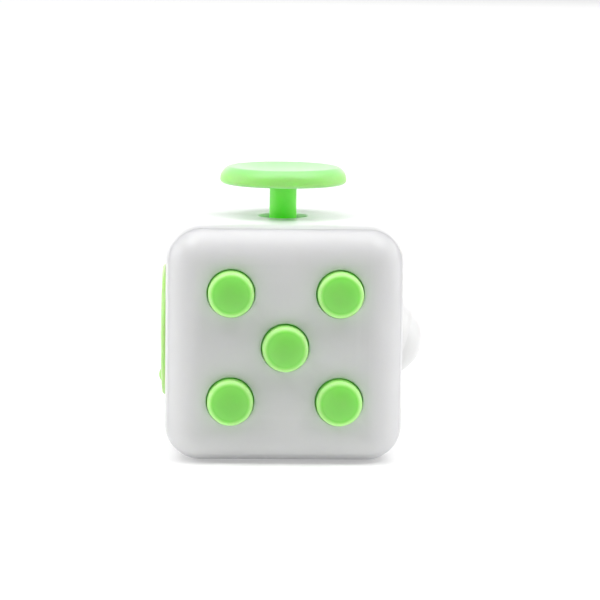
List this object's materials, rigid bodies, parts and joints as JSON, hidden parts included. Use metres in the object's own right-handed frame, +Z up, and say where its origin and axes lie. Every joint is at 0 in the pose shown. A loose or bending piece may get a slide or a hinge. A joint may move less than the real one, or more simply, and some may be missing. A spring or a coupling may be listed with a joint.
{
  "type": "fidget cube",
  "caption": "Palm-sized cube with rounded edges for busy fingers: press buttons, a tilting joystick, a dial, a flip switch, thumb gears with a rolling ball, and a smooth thumb dish.",
  "frame": {"origin": "middle of the flat bottom face, which the cube rests on", "axes": "+Z up through the joystick, -Y towards the face with the buttons, +X towards the flip switch, -X towards the dial"},
  "size_m": [0.0379, 0.0366, 0.04],
  "materials": {
    "shell_white": "fine satin moulded ABS",
    "button_green": "smooth semi-gloss",
    "joystick_green": "smooth semi-gloss",
    "dial_green": "smooth semi-gloss",
    "toggle_white": "smooth semi-gloss",
    "gear_green": "smooth semi-gloss",
    "inner_plastic": "plain moulded",
    "dark_plastic": "plain moulded, low friction",
    "silicone": "soft translucent",
    "spring_steel": "bright",
    "ball_steel": "polished",
    "screw_steel": "zinc plated"
  },
  "bodies": {
    "shell": {"main_housing": "shell_white", "front_cover": "shell_white", "button_plate": "inner_plastic", "button_plate_screws": "screw_steel", "joystick_bracket": "inner_plastic", "joystick_bracket_screws": "screw_steel", "joystick_spring": "spring_steel", "toggle_pin": "spring_steel", "toggle_bracket": "inner_plastic", "toggle_snap_spring": "spring_steel", "toggle_bracket_screws": "screw_steel", "gear_axle": "spring_steel", "axle_caps": "inner_plastic", "axle_cap_screws": "screw_steel", "ball_backplate": "inner_plastic", "ball_backplate_screws": "screw_steel", "ball_click_dome": "spring_steel", "click_dome_top_left": "spring_steel", "silent_dome_top_right": "silicone", "click_dome_centre": "spring_steel", "silent_dome_bottom_left": "silicone", "click_dome_bottom_right": "spring_steel"},
    "joystick_ring": {"joystick_gimbal_ring": "dark_plastic"},
    "joystick": {"joystick_cap": "joystick_green", "joystick_stem": "joystick_green"},
    "dial": {"dial": "dial_green", "dial_washer": "dark_plastic", "dial_screw": "screw_steel"},
    "flip_toggle": {"flip_toggle": "toggle_white"},
    "ball_cup": {"ball_cup": "inner_plastic"},
    "ball_race": {"ball_race": "dark_plastic"},
    "roller_ball": {"roller_ball": "ball_steel"},
    "button_top_left": {"button_top_left": "button_green"},
    "button_top_right": {"button_top_right": "button_green"},
    "button_centre": {"button_centre": "button_green"},
    "button_bottom_left": {"button_bottom_left": "button_green"},
    "button_bottom_right": {"button_bottom_right": "button_green"},
    "gear_left": {"gear_left": "gear_green"},
    "gear_middle": {"gear_middle": "gear_green"},
    "gear_right": {"gear_right": "gear_green"}
  },
  "joints": [
    {"name": "press_top_left", "type": "slide", "parent": "shell", "child": "button_top_left", "axis": [0, 1, 0], "range_m": [0, 0.0006], "stiffness_N_per_m": 1500, "springref_m": -0.0002, "deforming": ["click_dome_top_left"]},
    {"name": "press_top_right", "type": "slide", "parent": "shell", "child": "button_top_right", "axis": [0, 1, 0], "range_m": [0, 0.0006], "stiffness_N_per_m": 1500, "springref_m": -0.0002, "deforming": ["silent_dome_top_right"]},
    {"name": "press_centre", "type": "slide", "parent": "shell", "child": "button_centre", "axis": [0, 1, 0], "range_m": [0, 0.0006], "stiffness_N_per_m": 1500, "springref_m": -0.0002, "deforming": ["click_dome_centre"]},
    {"name": "press_bottom_left", "type": "slide", "parent": "shell", "child": "button_bottom_left", "axis": [0, 1, 0], "range_m": [0, 0.0006], "stiffness_N_per_m": 1500, "springref_m": -0.0002, "deforming": ["silent_dome_bottom_left"]},
    {"name": "press_bottom_right", "type": "slide", "parent": "shell", "child": "button_bottom_right", "axis": [0, 1, 0], "range_m": [0, 0.0006], "stiffness_N_per_m": 1500, "springref_m": -0.0002, "deforming": ["click_dome_bottom_right"]},
    {"name": "joystick_tilt_front_back", "type": "hinge", "parent": "shell", "child": "joystick_ring", "pos_m": [0, 0, 0.0275], "axis": [1, 0, 0], "range_deg": [-9, 9], "stiffness_Nm_per_rad": 0.02, "deforming": ["joystick_spring"]},
    {"name": "joystick_tilt_left_right", "type": "hinge", "parent": "joystick_ring", "child": "joystick", "pos_m": [0, 0, 0.0275], "axis": [0, 1, 0], "range_deg": [-9, 9], "stiffness_Nm_per_rad": 0.02, "deforming": ["joystick_spring"]},
    {"name": "dial_spin", "type": "hinge", "parent": "shell", "child": "dial", "pos_m": [-0.0165, 0, 0.0165], "axis": [-1, 0, 0], "continuous": true},
    {"name": "toggle_flip", "type": "hinge", "parent": "shell", "child": "flip_toggle", "pos_m": [0.0119, 0, 0.0165], "axis": [0, -1, 0], "range_deg": [0, 36], "deforming": ["toggle_snap_spring"]},
    {"name": "gear_roll_left", "type": "hinge", "parent": "shell", "child": "gear_left", "pos_m": [0, 0.0133, 0.0226], "axis": [-1, 0, 0], "continuous": true},
    {"name": "gear_roll_middle", "type": "hinge", "parent": "shell", "child": "gear_middle", "pos_m": [0, 0.0133, 0.0226], "axis": [-1, 0, 0], "continuous": true},
    {"name": "gear_roll_right", "type": "hinge", "parent": "shell", "child": "gear_right", "pos_m": [0, 0.0133, 0.0226], "axis": [-1, 0, 0], "continuous": true},
    {"name": "ball_click", "type": "slide", "parent": "shell", "child": "ball_cup", "axis": [0, -1, 0], "range_m": [0, 0.0006], "stiffness_N_per_m": 1500, "springref_m": -0.0002, "deforming": ["ball_click_dome"]},
    {"name": "ball_swivel", "type": "hinge", "parent": "ball_cup", "child": "ball_race", "pos_m": [0, 0.0139, 0.0102], "axis": [0, 1, 0], "continuous": true},
    {"name": "ball_roll", "type": "hinge", "parent": "ball_race", "child": "roller_ball", "pos_m": [0, 0.0139, 0.0102], "axis": [1, 0, 0], "continuous": true}
  ]
}
